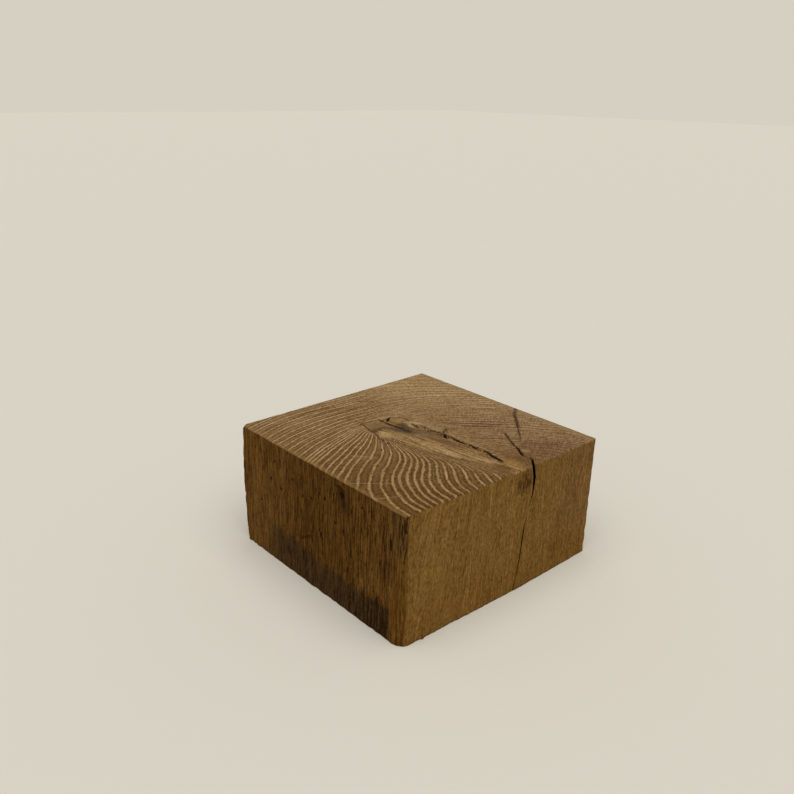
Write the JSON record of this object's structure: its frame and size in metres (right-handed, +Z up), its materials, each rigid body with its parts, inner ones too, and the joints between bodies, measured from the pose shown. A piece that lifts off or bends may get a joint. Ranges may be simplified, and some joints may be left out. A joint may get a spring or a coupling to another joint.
{
  "type": "wood block",
  "caption": "Square block of solid oak sawn across the grain, with a long knot, a heart split and drying checks in its end grain. It stands on end as a riser, chock or work block.",
  "frame": {"origin": "centre of the footprint's bounding box, on the plane that the block stands on", "axes": "+Z up, along the grain; +X to the right along the front sawn face, which looks to -Y and holds the heart split; the weathered face looks to -X"},
  "size_m": [0.122, 0.1225, 0.062],
  "materials": {
    "oak": "sawn oak, aged to a warm mid brown, unsealed and matt"
  },
  "bodies": {
    "root": {"block": "oak"}
  },
  "joints": []
}
